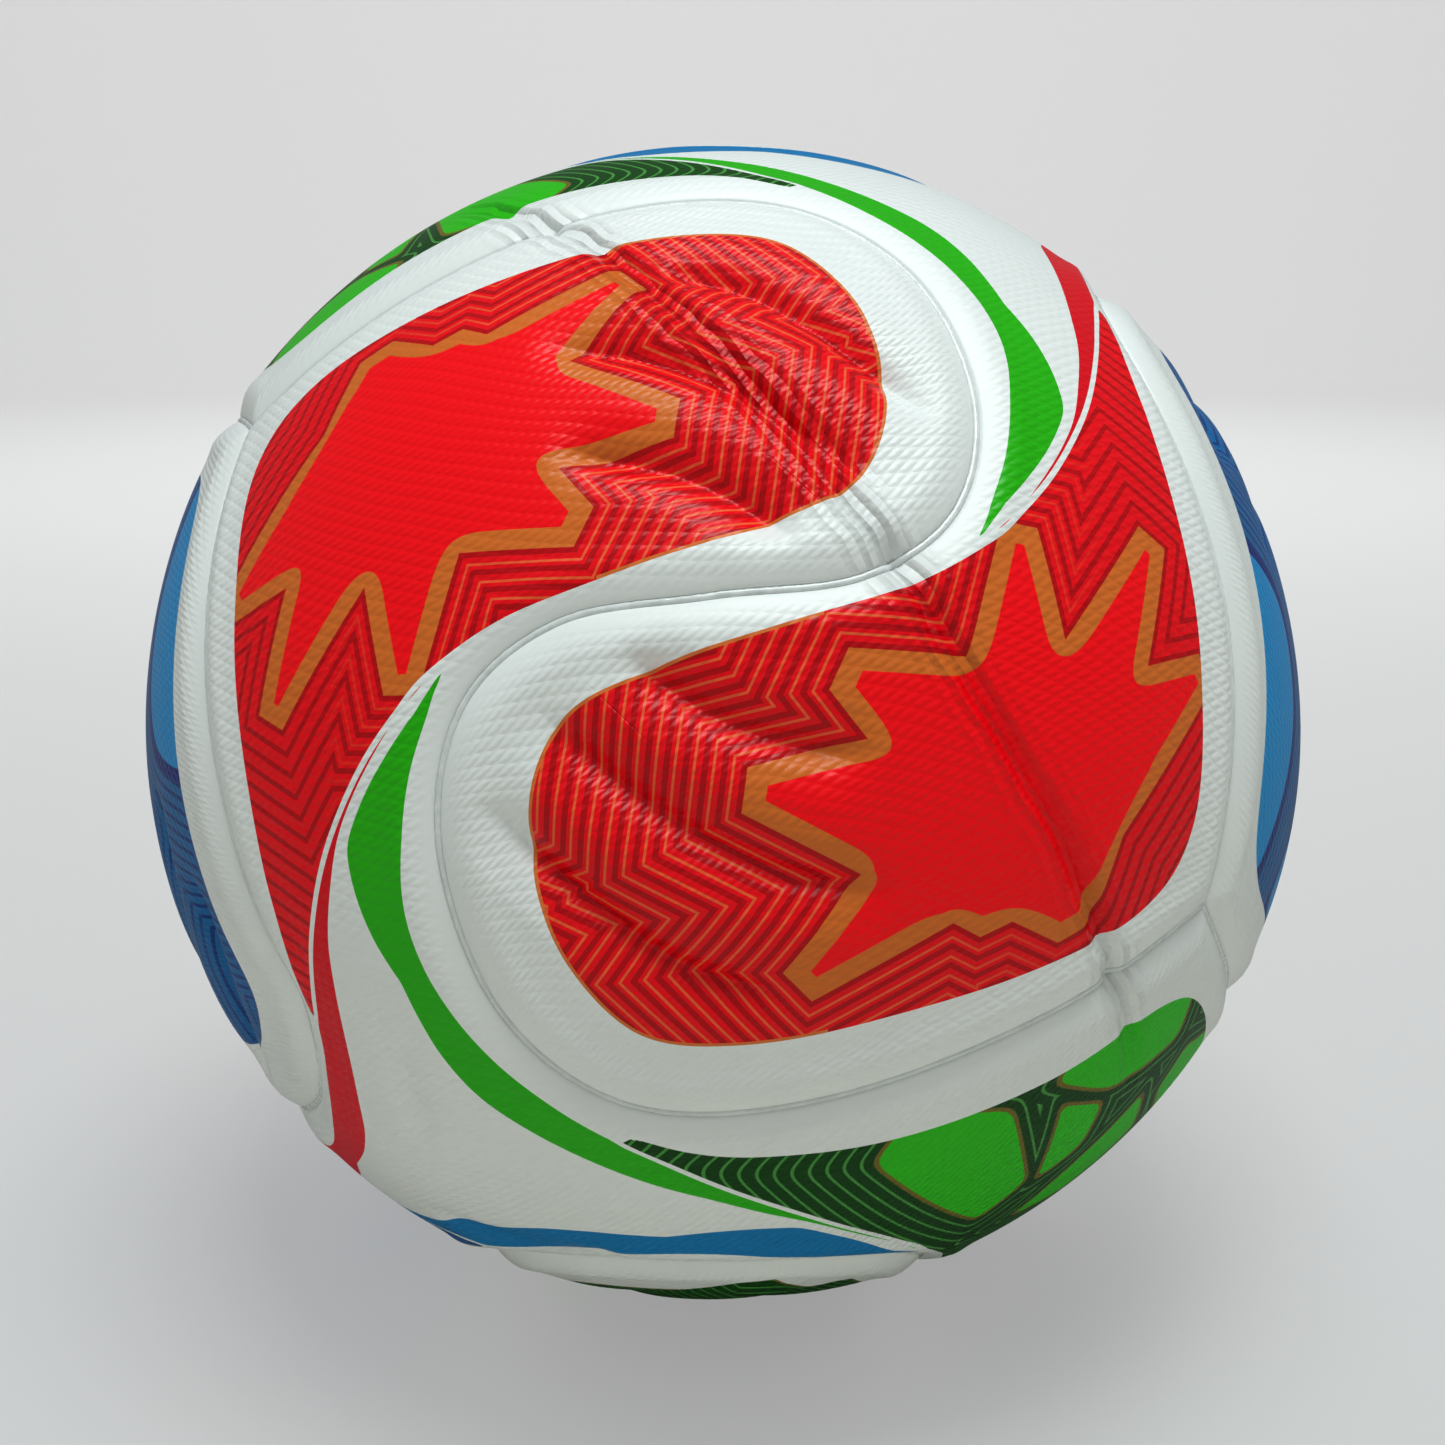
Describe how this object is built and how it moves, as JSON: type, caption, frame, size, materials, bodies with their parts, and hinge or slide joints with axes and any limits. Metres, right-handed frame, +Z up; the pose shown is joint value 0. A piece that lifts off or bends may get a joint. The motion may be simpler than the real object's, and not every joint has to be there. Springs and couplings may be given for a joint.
{
  "type": "soccer ball",
  "caption": "Round football with swirling three-armed bonded panels over foam, a sewn textile carcass and an air bladder with a valve.",
  "frame": {"origin": "centre of the small flat patch that the ball rests on, at floor height, straight below the ball's centre", "axes": "+Z is up, from the patch through the ball's centre; -Y is the side with the seam whose two lobes are printed red; +X is to that side's right"},
  "size_m": [0.2192, 0.2193, 0.2183],
  "materials": {
    "printed_cover": "white semi-gloss textured polyurethane with a printed pattern",
    "foam_backing": "matt closed-cell foam",
    "seam_adhesive": "glossy hot-melt adhesive",
    "carcass_textile": "plain woven cotton and polyester, latex coated",
    "bladder_rubber": "smooth butyl rubber",
    "valve_rubber": "moulded butyl rubber",
    "valve_core_rubber": "moulded silicone rubber",
    "patch_rubber": "matt cured rubber patch"
  },
  "bodies": {
    "root": {"balance_patch": "patch_rubber", "bladder": "bladder_rubber", "carcass_piece_01": "carcass_textile", "carcass_piece_02": "carcass_textile", "carcass_piece_03": "carcass_textile", "carcass_piece_04": "carcass_textile", "carcass_piece_05": "carcass_textile", "carcass_piece_06": "carcass_textile", "carcass_piece_07": "carcass_textile", "carcass_piece_08": "carcass_textile", "carcass_piece_09": "carcass_textile", "carcass_piece_10": "carcass_textile", "carcass_piece_11": "carcass_textile", "carcass_piece_12": "carcass_textile", "cover_panel_1": "printed_cover", "cover_panel_2": "printed_cover", "cover_panel_3": "printed_cover", "cover_panel_4": "printed_cover", "foam_panel_1": "foam_backing", "foam_panel_2": "foam_backing", "foam_panel_3": "foam_backing", "foam_panel_4": "foam_backing", "seam_bead_1": "seam_adhesive", "seam_bead_2": "seam_adhesive", "seam_bead_3": "seam_adhesive", "seam_bead_4": "seam_adhesive", "seam_bead_5": "seam_adhesive", "seam_bead_6": "seam_adhesive", "valve_core": "valve_core_rubber", "valve_housing": "valve_rubber"}
  },
  "joints": []
}
